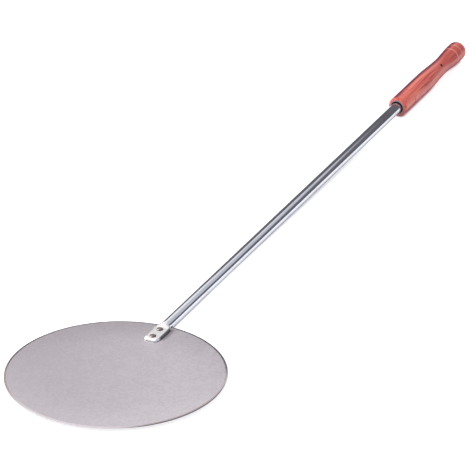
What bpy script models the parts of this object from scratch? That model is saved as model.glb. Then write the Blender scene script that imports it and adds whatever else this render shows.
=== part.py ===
"""Long-handled metal peel for lifting pizzas out of an oven.

A flat round blade sits in the slit end of a steel tube, whose two halves are pressed into flat-topped
tongues on its faces and riveted through, and a turned wooden grip is pinned on the tube's other end.
Metres, +Z up: the origin is the centre of the blade's underside, and the handle runs along +X.
"""

import math

import bmesh
import bpy

# Blade: a round sheet, flat in front of the tongues, falling a hair from there to its thinned rim
BLADE_DIAMETER = 0.300
BLADE_THICKNESS = 0.0015
BLADE_FALL = 0.00005
FIELD_MARGIN = 0.010
RIM_THICKNESS = 0.0008
RIM_TAPER_WIDTH = 0.0040

# Tube: round along the handle, in line with the blade, its end slit into two tongues
TUBE_DIAMETER = 0.016
TUBE_WALL = 0.0010
HANDLE_REACH = 0.737
TONGUE_OVERLAP = 0.050
TONGUE_SPREAD = 0.0038
TONGUE_CORNER_RADIUS = 0.0085
TONGUE_BEND_LENGTH = 0.0125
TONGUE_TIP_LENGTH = 0.0055
TONGUE_FLANK_LENGTH = 0.0030
TONGUE_FLANK_ROUNDING = 0.0016
TONGUE_FLANK_ANGLE = math.radians(52.0)
SLIT_PAST_RIM = 0.003

# Rivets: domed heads on the upper tongue, lower domed tails under the lower one
RIVET_SHANK_DIAMETER = 0.0040
RIVET_HEAD_DIAMETER = 0.0094
RIVET_HEAD_HEIGHT = 0.0019
RIVET_TAIL_DIAMETER = 0.0070
RIVET_TAIL_HEIGHT = 0.0014
RIVET_END_DISTANCE = 0.0095
RIVET_SPACING = 0.0212
RIVET_BEND_MARGIN = 0.0005

# Grip: turned wood, bored from its front face, with a waist and a knob at the rear
GRIP_LENGTH = 0.219
GRIP_DIAMETER = 0.0285
GRIP_BODY_LENGTH = 0.0905
GRIP_WAIST_DIAMETER = 0.0242
GRIP_WAIST_FROM_END = 0.067
GRIP_KNOB_DIAMETER = 0.0285
GRIP_KNOB_FROM_END = 0.020
GRIP_END_DOME = 0.014
GRIP_SHOULDER_RADIUS = 0.0042
GRIP_LIP_FLAT = 0.0004
GRIP_MOUTH_GAP = 0.0014
GRIP_MOUTH_DEPTH = 0.0060
FRONT_GROOVE_AT = 0.033
KNOB_GROOVES_FROM_END = (0.0352, 0.0222)
GROOVE_WIDTH = 0.0014
GROOVE_DEPTH = 0.0005
TUBE_INSERTION = 0.152
BORE_RUNOUT = 0.0020

# Pin: crosses the grip and both walls of the tube
PIN_DIAMETER = 0.0045
PIN_FROM_TUBE_END = 0.0155
PIN_TURN = math.radians(41.0)
PIN_RECESS = 0.0003
PIN_BEVEL = 0.0004

# Fits: the gap between pieces that touch, and how far a cutter runs past what it cuts
SEAT_GAP = 0.0003
CUTTER_OVERRUN = 0.0030

# Facets
BLADE_STEPS = 128
TONGUE_HALF_POINTS = 12
TONGUE_BEND_STEPS = 12
TUBE_STRAIGHT_STEPS = 4
CORNER_STEPS = 5
RIVET_STEPS = 24
RIVET_DOME_STEPS = 6
GRIP_STEPS = 36
GRIP_CURVE_STEPS = 8
GRIP_DOME_STEPS = 6
GRIP_SHOULDER_STEPS = 4
PIN_STEPS = 20
PIN_BEVEL_STEPS = 2
SMOOTH_ANGLE = math.radians(35.0)
WELD_DISTANCE = 0.00001

# Places worked out from the sizes above
BLADE_RADIUS = BLADE_DIAMETER / 2
TUBE_RADIUS = TUBE_DIAMETER / 2
AXIS_HEIGHT = BLADE_THICKNESS / 2
SLIT_HALF_HEIGHT = BLADE_THICKNESS / 2 + SEAT_GAP
ROUND_ANGLE = math.acos(SLIT_HALF_HEIGHT / (TUBE_RADIUS - TUBE_WALL))
ROUND_HALF_WIDTH = (TUBE_RADIUS - TUBE_WALL / 2) * ROUND_ANGLE
TONGUE_FLAT_LENGTH = RIVET_END_DISTANCE + RIVET_SPACING + RIVET_HEAD_DIAMETER / 2 + RIVET_BEND_MARGIN
TONGUE_END = BLADE_RADIUS - TONGUE_OVERLAP
RIVET_PLACES = {
    "rivet_front": TONGUE_END + RIVET_END_DISTANCE,
    "rivet_rear": TONGUE_END + RIVET_END_DISTANCE + RIVET_SPACING,
}
GRIP_FRONT = BLADE_RADIUS + HANDLE_REACH
GRIP_BORE_RADIUS = TUBE_RADIUS + SEAT_GAP
PIN_FROM_GRIP_FRONT = TUBE_INSERTION - PIN_FROM_TUBE_END
ALONG_HANDLE = (0.0, math.radians(90.0), 0.0)


def clear_scene():
    """Empty the scene of everything that was in it."""
    for obj in list(bpy.data.objects):
        bpy.data.objects.remove(obj, do_unlink=True)


def new_collection(name):
    """A collection in the scene."""
    collection = bpy.data.collections.new(name)
    bpy.context.scene.collection.children.link(collection)
    return collection


def finish(name, color, roughness, metallic):
    """A plain surface finish."""
    material = bpy.data.materials.new(name)
    material.use_nodes = True
    shader = material.node_tree.nodes["Principled BSDF"]
    shader.inputs["Base Color"].default_value = (*color, 1.0)
    shader.inputs["Roughness"].default_value = roughness
    shader.inputs["Metallic"].default_value = metallic
    return material


def object_from(bm, name, collection):
    """Put a finished bmesh into a new smooth-shaded object."""
    mesh = bpy.data.meshes.new(name)
    bm.to_mesh(mesh)
    bm.free()
    mesh.shade_smooth()
    mesh.set_sharp_from_angle(angle=SMOOTH_ANGLE)
    obj = bpy.data.objects.new(name, mesh)
    collection.objects.link(obj)
    return obj


def turned(name, profile, steps, collection):
    """A solid turned about local Z from (radius, height) points, from its top down its outer side."""
    bm = bmesh.new()
    points = [bm.verts.new((radius, 0.0, height)) for radius, height in profile]
    for upper, lower in zip(points, points[1:]):
        bm.edges.new((upper, lower))
    obj = object_from(bm, name, collection)
    screw = obj.modifiers.new("Turn", "SCREW")
    screw.axis = "Z"
    screw.steps = steps
    screw.render_steps = steps
    screw.use_merge_vertices = True
    screw.merge_threshold = WELD_DISTANCE
    return obj


def as_part(obj, root, material, location, rotation=(0.0, 0.0, 0.0)):
    """Give a sub-part its finish and its place on the peel."""
    obj.data.materials.append(material)
    obj.parent = root
    obj.location = location
    obj.rotation_euler = rotation
    return obj


def as_cutter(obj, location, rotation=(0.0, 0.0, 0.0)):
    """Place a cutter, drawn as wires and left out of the finished object."""
    obj.location = location
    obj.rotation_euler = rotation
    obj.hide_render = True
    obj.display_type = "WIRE"
    return obj


def cut(obj, cutters):
    """Cut each cutter's shape out of a sub-part."""
    for cutter in cutters:
        boolean = obj.modifiers.new("Cut " + cutter.name, "BOOLEAN")
        boolean.operation = "DIFFERENCE"
        boolean.object = cutter


def ease(share):
    """Smooth step from 0 to 1, level at both ends."""
    share = min(max(share, 0.0), 1.0)
    return share * share * (3.0 - 2.0 * share)


def between(first, last, share):
    """Value on a smooth step from first to last."""
    return first + (last - first) * ease(share)


def spaced(first, last, steps):
    """Evenly spaced values after first, up to and including last."""
    return [first + (last - first) * step / steps for step in range(1, steps + 1)]


def rod(name, radius, length, steps, collection):
    """A plain rod about its middle, along local Z."""
    bm = bmesh.new()
    bmesh.ops.create_cone(
        bm, cap_ends=True, segments=steps, radius1=radius, radius2=radius, depth=length
    )
    return object_from(bm, name, collection)


def blade_shape(collection):
    """The round sheet: a flat field, a ring that falls a hair on both faces, and the thinned rim."""
    field = TONGUE_END - FIELD_MARGIN
    taper = BLADE_RADIUS - RIM_TAPER_WIDTH
    profile = [
        (0.0, BLADE_THICKNESS),
        (field, BLADE_THICKNESS),
        (taper, BLADE_THICKNESS - BLADE_FALL),
        (BLADE_RADIUS, BLADE_FALL + RIM_THICKNESS),
        (BLADE_RADIUS, BLADE_FALL),
        (taper, BLADE_FALL),
        (field, 0.0),
        (0.0, 0.0),
    ]
    return turned("blade", profile, BLADE_STEPS, collection)


def tongue_lean(out, half_width, from_end):
    """Lean of a tongue's wall from level, at a distance out from its middle along the wall."""
    roundness = tongue_roundness(from_end)
    flank = ease((out - half_width + TONGUE_FLANK_LENGTH) / TONGUE_FLANK_ROUNDING + 0.5)
    flank_lean = TONGUE_FLANK_ANGLE * flank * ease(from_end / TONGUE_TIP_LENGTH)
    return roundness * ROUND_ANGLE * out / half_width + (1.0 - roundness) * flank_lean


def tongue_roundness(from_end):
    """Share of the tube's round shape that is left at a distance from a tongue's end."""
    return ease((from_end - TONGUE_FLAT_LENGTH) / TONGUE_BEND_LENGTH)


def tongue_arches(along):
    """Outer and inner (y, z) rows across the upper tongue, at a distance past the blade's rim."""
    from_end = along + TONGUE_OVERLAP
    half_width = ROUND_HALF_WIDTH + TONGUE_SPREAD / 2 * (1.0 - tongue_roundness(from_end))
    short = max(TONGUE_CORNER_RADIUS - from_end, 0.0)
    half_width -= TONGUE_CORNER_RADIUS - math.sqrt(TONGUE_CORNER_RADIUS**2 - short**2)
    step = half_width / TONGUE_HALF_POINTS
    middle = [(0.0, 0.0)]
    for point in range(TONGUE_HALF_POINTS):
        lean = tongue_lean((point + 0.5) * step, half_width, from_end)
        y, drop = middle[-1]
        middle.append((y + step * math.cos(lean), drop + step * math.sin(lean)))
    leans = [tongue_lean(point * step, half_width, from_end) for point in range(len(middle))]
    crown = SLIT_HALF_HEIGHT + middle[-1][1] + TUBE_WALL / 2 * math.cos(leans[-1])
    rows = []
    for offset in (TUBE_WALL / 2, -TUBE_WALL / 2):
        half = []
        for (y, drop), lean in zip(middle, leans):
            half.append((y + offset * math.sin(lean), crown - drop + offset * math.cos(lean)))
        rows.append([(-y, z) for y, z in half[:0:-1]] + half)
    return rows


def tongue_stations():
    """Distances past the blade's rim of the rows across a tongue, up to the slit's root."""
    corners = []
    for step in range(CORNER_STEPS + 1):
        angle = math.radians(90.0) * step / CORNER_STEPS
        corners.append(TONGUE_CORNER_RADIUS * (1.0 - math.cos(angle)) - TONGUE_OVERLAP)
    bend_start = TONGUE_FLAT_LENGTH - TONGUE_OVERLAP
    bend_end = bend_start + TONGUE_BEND_LENGTH
    slit_root = max(SLIT_PAST_RIM, bend_end)
    bend = spaced(bend_start, bend_end, TONGUE_BEND_STEPS)
    if slit_root > bend_end:
        bend.append(slit_root)
    return corners + [bend_start] + bend


def add_row(bm, along, points, side):
    """Add a row of points above (side 1) or below (side -1) the axis."""
    return [bm.verts.new((along, y, side * z)) for y, z in points]


def join_rows(bm, first, second, closed=False):
    """Fill the band between two rows of as many points."""
    for point in range(0 if closed else 1, len(first)):
        bm.faces.new((first[point - 1], first[point], second[point], second[point - 1]))


def half_tongue(bm, stations, root_rows, side):
    """One tongue, from its free end to the rows at the slit's root."""
    rows = []
    for along in stations:
        rows.append([add_row(bm, along, points, side) for points in tongue_arches(along)])
    rows.append(root_rows)
    join_rows(bm, *rows[0])
    for (outer, inner), (next_outer, next_inner) in zip(rows, rows[1:]):
        join_rows(bm, outer, next_outer)
        join_rows(bm, inner, next_inner)
        for edge in (0, -1):
            bm.faces.new((outer[edge], next_outer[edge], next_inner[edge], inner[edge]))


def tube_ring(bm, along, arch, radius):
    """One ring round the tube: its upper arch, its lower arch and a point on either side."""
    upper = add_row(bm, along, arch, 1)
    lower = add_row(bm, along, arch, -1)
    left = bm.verts.new((along, -radius, 0.0))
    right = bm.verts.new((along, radius, 0.0))
    return upper, lower, upper + [right] + lower[::-1] + [left]


def tube_shape(collection):
    """The tube: two tongues, pressed to flat tops with leaning flanks, on one long round wall."""
    bm = bmesh.new()
    *stations, slit_root = tongue_stations()
    arches = tongue_arches(slit_root)
    radii = (TUBE_RADIUS, TUBE_RADIUS - TUBE_WALL)
    tube_end = HANDLE_REACH + TUBE_INSERTION
    walls = []
    for along in [slit_root] + spaced(slit_root, tube_end, TUBE_STRAIGHT_STEPS):
        walls.append([tube_ring(bm, along, arch, radius) for arch, radius in zip(arches, radii)])
    (upper_outer, lower_outer, ring_outer), (upper_inner, lower_inner, ring_inner) = walls[0]
    half_tongue(bm, stations, [upper_outer, upper_inner], 1)
    half_tongue(bm, stations, [lower_outer, lower_inner], -1)
    for middle in (2 * TONGUE_HALF_POINTS + 1, -1):
        outer = [ring_outer[middle - 1], ring_outer[middle], ring_outer[(middle + 1) % len(ring_outer)]]
        inner = [ring_inner[middle - 1], ring_inner[middle], ring_inner[(middle + 1) % len(ring_inner)]]
        bm.faces.new(outer + inner[::-1])
    for wall, next_wall in zip(walls, walls[1:]):
        for (_, _, ring), (_, _, next_ring) in zip(wall, next_wall):
            join_rows(bm, ring, next_ring, closed=True)
    (_, _, end_outer), (_, _, end_inner) = walls[-1]
    join_rows(bm, end_outer, end_inner, closed=True)
    bmesh.ops.recalc_face_normals(bm, faces=bm.faces)
    return object_from(bm, "handle_tube", collection)


def dome(base_radius, height, steps):
    """(radius, height) points down a rounded head, from its crown to its base at height 0."""
    sphere = (base_radius**2 + height**2) / (2.0 * height)
    points = [(0.0, height)]
    for angle in spaced(0.0, math.asin(base_radius / sphere), steps):
        points.append((sphere * math.sin(angle), height - sphere * (1.0 - math.cos(angle))))
    return points


def rivet_seat():
    """Height of a rivet head's underside over the blade's middle plane."""
    outer, _ = tongue_arches(RIVET_END_DISTANCE - TONGUE_OVERLAP)
    return outer[TONGUE_HALF_POINTS][1] + SEAT_GAP


def rivet_shape(name, collection):
    """A rivet about the blade's middle plane, from its head down to its tail."""
    seat = rivet_seat()
    shank = RIVET_SHANK_DIAMETER / 2
    head = dome(RIVET_HEAD_DIAMETER / 2, RIVET_HEAD_HEIGHT, RIVET_DOME_STEPS)
    tail = dome(RIVET_TAIL_DIAMETER / 2, RIVET_TAIL_HEIGHT, RIVET_DOME_STEPS)
    profile = [(radius, seat + height) for radius, height in head]
    profile += [(shank, seat), (shank, -seat)]
    profile += [(radius, -seat - height) for radius, height in reversed(tail)]
    return turned(name, profile, RIVET_STEPS, collection)


def rivet_cutter(name, collection):
    """The hole for a rivet, straight through both tongues and the blade."""
    length = 2.0 * (rivet_seat() + CUTTER_OVERRUN)
    return rod(name, RIVET_SHANK_DIAMETER / 2 + SEAT_GAP, length, RIVET_STEPS, collection)


def grip_radius(along):
    """Outer radius of the grip behind its front face, leaving out the turned grooves."""
    body, waist, knob = GRIP_DIAMETER / 2, GRIP_WAIST_DIAMETER / 2, GRIP_KNOB_DIAMETER / 2
    waist_at = GRIP_LENGTH - GRIP_WAIST_FROM_END
    knob_at = GRIP_LENGTH - GRIP_KNOB_FROM_END
    if along < waist_at:
        return between(body, waist, (along - GRIP_BODY_LENGTH) / (waist_at - GRIP_BODY_LENGTH))
    return between(waist, knob, (along - waist_at) / (knob_at - waist_at))


def grip_outside():
    """(radius, height) points along the grip's side, from its rear dome to its front shoulder."""
    waist_at = GRIP_LENGTH - GRIP_WAIST_FROM_END
    knob_at = GRIP_LENGTH - GRIP_KNOB_FROM_END
    dome_at = GRIP_LENGTH - GRIP_END_DOME
    taper = spaced(GRIP_BODY_LENGTH, waist_at, GRIP_CURVE_STEPS)
    swell = spaced(waist_at, knob_at, GRIP_CURVE_STEPS)
    side = {along: grip_radius(along) for along in [GRIP_BODY_LENGTH] + taper + swell + [dome_at]}
    grooves = [FRONT_GROOVE_AT] + [GRIP_LENGTH - place for place in KNOB_GROOVES_FROM_END]
    for groove in grooves:
        inside = [along for along in side if abs(along - groove) < GROOVE_WIDTH]
        for along in inside:
            del side[along]
        for along in (groove - GROOVE_WIDTH / 2, groove + GROOVE_WIDTH / 2):
            side[along] = grip_radius(along)
        side[groove] = grip_radius(groove) - GROOVE_DEPTH
    return [(side[along], along) for along in sorted(side, reverse=True)]


def grip_shape(collection):
    """The turned grip, standing on its front face, with its blind bore and wider mouth."""
    body, knob = GRIP_DIAMETER / 2, GRIP_KNOB_DIAMETER / 2
    mouth = TUBE_RADIUS + GRIP_MOUTH_GAP
    shoulder = min(GRIP_SHOULDER_RADIUS, body - mouth - GRIP_LIP_FLAT)
    bore_end = TUBE_INSERTION + BORE_RUNOUT
    profile = [(0.0, GRIP_LENGTH)]
    for angle in spaced(math.radians(90.0), 0.0, GRIP_DOME_STEPS)[:-1]:
        height = GRIP_LENGTH - GRIP_END_DOME * (1.0 - math.sin(angle))
        profile.append((knob * math.cos(angle), height))
    profile += grip_outside()
    profile.append((body, shoulder))
    for angle in spaced(0.0, math.radians(90.0), GRIP_SHOULDER_STEPS):
        radius = body - shoulder * (1.0 - math.cos(angle))
        profile.append((radius, shoulder * (1.0 - math.sin(angle))))
    profile += [
        (mouth, 0.0),
        (mouth, GRIP_MOUTH_DEPTH),
        (GRIP_BORE_RADIUS, GRIP_MOUTH_DEPTH),
        (GRIP_BORE_RADIUS, bore_end),
        (0.0, bore_end),
    ]
    return turned("grip", profile, GRIP_STEPS, collection)


def pin_shape(collection):
    """The pin, ending just below the wood on both sides."""
    length = 2.0 * (grip_radius(PIN_FROM_GRIP_FRONT) - PIN_RECESS)
    pin = rod("grip_pin", PIN_DIAMETER / 2, length, PIN_STEPS, collection)
    bevel = pin.modifiers.new("Round ends", "BEVEL")
    bevel.width = PIN_BEVEL
    bevel.segments = PIN_BEVEL_STEPS
    return pin


def pin_cutter(collection):
    """The hole for the pin through the grip and the tube."""
    length = 2.0 * (grip_radius(PIN_FROM_GRIP_FRONT) + CUTTER_OVERRUN)
    return rod("pin_hole", PIN_DIAMETER / 2 + SEAT_GAP, length, PIN_STEPS, collection)


def main():
    clear_scene()
    parts = new_collection("pizza_peel")
    cutters = new_collection("cutters")
    root = bpy.data.objects.new("peel_root", None)
    parts.objects.link(root)

    rolled_steel = finish("rolled_steel", (0.52, 0.50, 0.51), 0.42, 1.0)
    chromed_steel = finish("chromed_steel", (0.76, 0.77, 0.80), 0.10, 1.0)
    rivet_steel = finish("rivet_steel", (0.34, 0.30, 0.30), 0.32, 1.0)
    stained_wood = finish("stained_wood", (0.56, 0.12, 0.09), 0.38, 0.0)
    pin_steel = finish("pin_steel", (0.16, 0.14, 0.13), 0.50, 1.0)

    rivet_holes = []
    for name, place in RIVET_PLACES.items():
        location = (place, 0.0, AXIS_HEIGHT)
        as_part(rivet_shape(name, parts), root, rivet_steel, location)
        hole = rivet_cutter(name.replace("rivet", "rivet_hole"), cutters)
        rivet_holes.append(as_cutter(hole, location))

    pin_place = (GRIP_FRONT + PIN_FROM_GRIP_FRONT, 0.0, AXIS_HEIGHT)
    pin_rotation = (PIN_TURN, 0.0, 0.0)
    as_part(pin_shape(parts), root, pin_steel, pin_place, pin_rotation)
    pin_hole = as_cutter(pin_cutter(cutters), pin_place, pin_rotation)

    blade = as_part(blade_shape(parts), root, rolled_steel, (0.0, 0.0, 0.0))
    cut(blade, rivet_holes)

    tube = as_part(tube_shape(parts), root, chromed_steel, (BLADE_RADIUS, 0.0, AXIS_HEIGHT))
    cut(tube, rivet_holes + [pin_hole])

    grip_place = (GRIP_FRONT, 0.0, AXIS_HEIGHT)
    grip = as_part(grip_shape(parts), root, stained_wood, grip_place, ALONG_HANDLE)
    cut(grip, [pin_hole])


if __name__ == "__main__":
    main()
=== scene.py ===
"""Pizza peel add-on.

Models the peel's blade, tube, rivets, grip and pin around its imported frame, gives each its own
procedural finish, and sets the stage for its picture. Metres, +Z up: the origin is the centre of the
blade's underside, and the handle runs along +X.
"""

import math

import bmesh
import bpy
from bpy.props import FloatProperty, FloatVectorProperty, PointerProperty
from mathutils import Matrix, Vector


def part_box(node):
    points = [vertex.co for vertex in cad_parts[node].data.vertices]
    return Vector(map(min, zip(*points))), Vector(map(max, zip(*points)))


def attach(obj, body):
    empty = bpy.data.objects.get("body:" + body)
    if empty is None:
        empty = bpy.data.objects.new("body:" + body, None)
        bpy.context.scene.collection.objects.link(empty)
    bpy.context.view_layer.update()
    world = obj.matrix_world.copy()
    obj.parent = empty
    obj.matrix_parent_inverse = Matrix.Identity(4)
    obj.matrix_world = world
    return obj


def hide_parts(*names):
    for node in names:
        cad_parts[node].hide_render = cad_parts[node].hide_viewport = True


bl_info = {
    "name": "Pizza Peel",
    "version": (1, 0, 0),
    "blender": (4, 5, 0),
    "location": "View3D > Sidebar > Peel",
    "description": "Model a long-handled pizza peel on its packed frame and set its stage",
    "category": "Add Mesh",
}

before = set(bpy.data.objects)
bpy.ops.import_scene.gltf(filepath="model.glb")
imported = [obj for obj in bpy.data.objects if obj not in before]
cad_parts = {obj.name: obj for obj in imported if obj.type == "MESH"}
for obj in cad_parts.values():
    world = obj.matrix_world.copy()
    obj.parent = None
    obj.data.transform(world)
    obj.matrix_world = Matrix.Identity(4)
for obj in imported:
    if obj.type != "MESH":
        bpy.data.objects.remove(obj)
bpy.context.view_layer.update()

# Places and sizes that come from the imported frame
BODY = "root"
BLADE_LOW, BLADE_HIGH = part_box("blade")
TUBE_LOW, TUBE_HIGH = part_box("handle_tube")
GRIP_LOW, GRIP_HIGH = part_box("grip")
PIN_LOW, PIN_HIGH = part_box("grip_pin")
RIVET_NODES = ("rivet_front", "rivet_rear")
RIVET_LOW, RIVET_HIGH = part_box(RIVET_NODES[0])
AXIS_HEIGHT = (TUBE_LOW.z + TUBE_HIGH.z) / 2

# Smoothness of the pieces
BLADE_STEPS = 288
RIVET_STEPS = 64
RIVET_HEAD_STEPS = 14
RIVET_TAIL_STEPS = 12
HOLE_STEPS = 48
TONGUE_HALF_POINTS = 36
TONGUE_CORNER_STEPS = 10
TONGUE_FLAT_STEPS = 12
TONGUE_BEND_STEPS = 36
TUBE_STEPS = 24
GRIP_TURN_STEPS = 128
GRIP_SIDE_STEPS = 150
GRIP_END_STEPS = 20
GROOVE_STEPS = 12
SHOULDER_STEPS = 8
MERGE_DISTANCE = 0.000001
SMOOTH_ANGLE = math.radians(32.0)
QUARTER_TURN = math.radians(90.0)
FULL_TURN = math.radians(360.0)
UPRIGHT = (0.0, 0.0, 1.0)
ALONG_HANDLE = (1.0, 0.0, 0.0)

# Softened edges: width, segments and the least angle that counts as an edge
BLADE_EDGE = (0.00015, 2, math.radians(50.0))
TUBE_EDGE = (0.0002, 2, math.radians(50.0))
RIVET_EDGE = (0.00025, 3, math.radians(60.0))
PIN_EDGE = (0.0005, 4, math.radians(60.0))

# Small lengths and a lean inside the pieces, which a user wouldn't change
BLADE_FALL = 0.00005
TONGUE_TIP = 0.0055
FLANK_LENGTH = 0.0030
FLANK_ROUNDING = 0.0016
FLANK_ANGLE = math.radians(52.0)
SLIT_PAST_RIM = 0.003
RIVET_TAIL_DIAMETER = 0.0070
RIVET_TAIL_HEIGHT = 0.0014
MOUTH_GAP = 0.0014
MOUTH_DEPTH = 0.0060
GROOVE_WIDTH = 0.0016
GROOVE_DEPTH = 0.0005
PIN_RECESS = 0.0003
END_DOME = 0.014
FIT_GAP = 0.0003
START_SIZE = 0.01
FIELD_MARGIN = 0.010
LEAST_ROOT = 10 * MERGE_DISTANCE
LEAST_LIP = 0.0004
MOUTH_CHAMFER = 0.0003
BORE_PAST_TUBE = 0.002

# Shares of a groove's width that its closer points reach and clear
GROOVE_REACH = 0.55
GROOVE_CLEAR = 0.6

# Every band below is a start and an end, then the two values it goes between if not 0 and 1.
# Noise of the shared marks: bands of noise, and the turn and stretch of each set of scuffs
STREAK_DETAIL = 5.0
STREAK_ROUGHNESS = 0.6
PATCH_DETAIL = 4.0
SCUFF_DETAIL = 2.0
SCUFF_BAND = (0.62, 0.72)
SCUFF_LINES = ((0.35, 0.05), (-0.9, 0.08))

# Finish of the blade, with directions across it and bands in shares of its radius or in metres
MOTTLE_FINENESS = 260.0
MOTTLE_DETAIL = 6.0
MOTTLE_SHARE = 0.75
MOTTLE_BAND = (0.36, 0.64)
RIGHT_DIRECTION = (0.45, -0.89, 0.0)
NEAR_DIRECTION = (-0.36, -0.93, 0.0)
# Painted shade darkening the blade towards its left side
LEFT_SHADE_TONE = (-1.0, 1.0, 0.44, 0.0)
# Rim: thinned steel painted darker as shade, with a painted highlight in front and on the right and painted
# shade along its near edge
RIM_SHARE_OF_TAPER = 0.75
RIM_START = (-0.0004, 0.0003)
RIM_FRONT_HIGHLIGHT = (-0.145, -0.09)
RIM_RIGHT_HIGHLIGHT = (0.72, 0.97, 1.0, 0.4)
RIM_NEAR_SHADE_SIDE = (0.76, 0.92, 0.0, 0.95)
RIM_NEAR_SHADE_EDGE = (-0.0018, -0.0008)
# Painted shadow on the blade by the tongue's right side
TONGUE_SHADOW_SIDE = (-0.009, 0.001, 0.0, 0.9)
TONGUE_SHADOW_MIDDLE = (0.002, -0.002)
TONGUE_SHADOW_FRONT = (0.004, 0.016)
TONGUE_SHADOW_BACK = (-0.002, -0.012)
BLADE_ROUGHNESS = (0.3, 0.7, 0.40, 0.52)
BLADE_SCUFF_ROUGHNESS = -0.05
RIM_ROUGHNESS = -0.24
BLADE_RELIEF = 0.000012

# Finish of the tube, with bands in metres from the rim, the axis, the tube's box or the grip
HANDLED_CHROME = (0.46, 0.70)
PRESSED_END = (-0.012, 0.006, 1.0, 0.0)
# Painted shade on the tube's underside
UNDERSIDE_SHADE = (-0.0005, -0.0024)
UNDERSIDE_SHADE_REACH = (0.20, 0.60)
# Painted shade on the right flank of the pressed tongue
FLANK_SHADE_SIDE = (0.0030, 0.0012, 0.0, 0.75)
FLANK_SHADE_FRONT = (0.004, 0.012)
# Painted shade on the tube at the grip's mouth
MOUTH_SHADE_END = (-0.006, -0.002, 0.0, 0.8)
CHROME_ROUGHNESS = (0.3, 0.7, 0.07, 0.12)
CHROME_SCUFF_ROUGHNESS = 0.05
PRESSED_ROUGHNESS = 0.12
CHROME_RELIEF = 0.000004

# Finish of the rivets and the pin
RIVET_PATCHES = (0.42, 0.68)
RIVET_ROUGHNESS = (0.3, 0.7, 0.16, 0.28)
RIVET_SCUFF_ROUGHNESS = 0.10
PIN_PATCHES = (0.5, 0.7)
PIN_ROUGHNESS = (0.3, 0.7, 0.38, 0.58)
SCUFF_RELIEF = 0.00001

# Finish of the grip: noise bands, bands in metres from its mouth, and bands of its slant to the eye
WOOD_COAT_ROUGHNESS = 0.22
WOOD_SPECULAR = 0.25
GRAIN_RED = (0.38, 0.52)
GRAIN_ORANGE = (0.51, 0.64)
PORE_BAND = (0.40, 0.33)
PORE_DARKNESS = 0.8
HANDLED_START = 0.04
HANDLED_BEFORE_END = 0.05
HANDLED_SHARE = 0.7
# Painted shade on the grip's rounded front shoulder
SHOULDER_SHADE = (0.007, 0.001, 0.0, 0.4)
MOUTH_WEAR = (0.0012, 0.0004, 0.0, 0.15)
# Grey painted shade inside the grip's mouth
MOUTH_SHADE_LIP = (0.0010, 0.0016, 1.0, 0.0)
RING_WIDTH = 1.3
RING_CORE = 0.4
RING_WEAR = 0.6
WEAR_PATCHES = (0.30, 0.60, 0.55, 1.0)
# Painted shade in the front groove
GROOVE_SHADE = 0.25
# Painted pink sheen on the grip's right side and painted shade towards its outline, by slant to the eye
LEFT_SIDE = (-0.004, 0.004)
SHEEN_RISE = (0.45, 0.54, 0.0, 0.38)
SHEEN_FALL = (0.74, 0.64)
LEFT_OUTLINE_SHADE = (0.48, 0.72, 0.0, 0.94)
WHOLE_OUTLINE_SHADE = (0.76, 0.92, 0.0, 0.9)
WOOD_ROUGHNESS = (0.3, 0.7, 0.36, 0.52)
PORE_ROUGHNESS = 0.12
WOOD_COAT = (0.35, 0.65, 0.10, 0.04)
PORE_HEIGHT = -0.5
WOOD_RELIEF = 0.00006

# Floor: the whiteness added to it, and how near a piece takes that away along the handle
FLOOR_SIZE = 16.0
FLOOR_TOUCH = 0.006
CAMERA_GLOW = 0.70
GLOSS_GLOW = 0.30
CONTACT = (0.25, 0.78, 0.0018, 0.0060)
GRIP_CONTACT = (-0.03, 0.01, 1.0, 0.6)
CONTACT_POWER = 2.0
GLOSS_CONTACT = 0.04

# Dark card: its place and size, the heights it fades between across the handle, and its hump
FLAG_PLACE = 1.55
FLAG_SIZE = 5.0
FLAG_FADE = (0.0, 0.25, 0.50, 0.74)
FLAG_TOP = (0.0, 0.25, 0.70, 0.82)
FLAG_HUMP = (0.22, 0.38, 0.0, 0.10)
FLAG_HUMP_LEFT = (0.66, 0.52)

# Light and camera
SKY_BLEND = (-0.15, 0.18)
KEY_PLACE = (-0.4, 2.6, 2.6)
KEY_TARGET = (0.4, 0.0, 0.0)
KEY_SIZE = 1.6
SENSOR_WIDTH = 36.0
VIEW_END = 100.0
WHITE = (1.0, 1.0, 1.0)


def length_prop(name, description, default):
    """A length that a user may change."""
    return FloatProperty(name=name, description=description, default=default, unit="LENGTH")


def angle_prop(name, description, degrees):
    """An angle that a user may change, given in degrees."""
    return FloatProperty(name=name, description=description, default=math.radians(degrees), subtype="ANGLE")


def color_prop(name, description, *default):
    """A colour that a user may change."""
    return FloatVectorProperty(name=name, description=description, default=default, subtype="COLOR")


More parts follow.
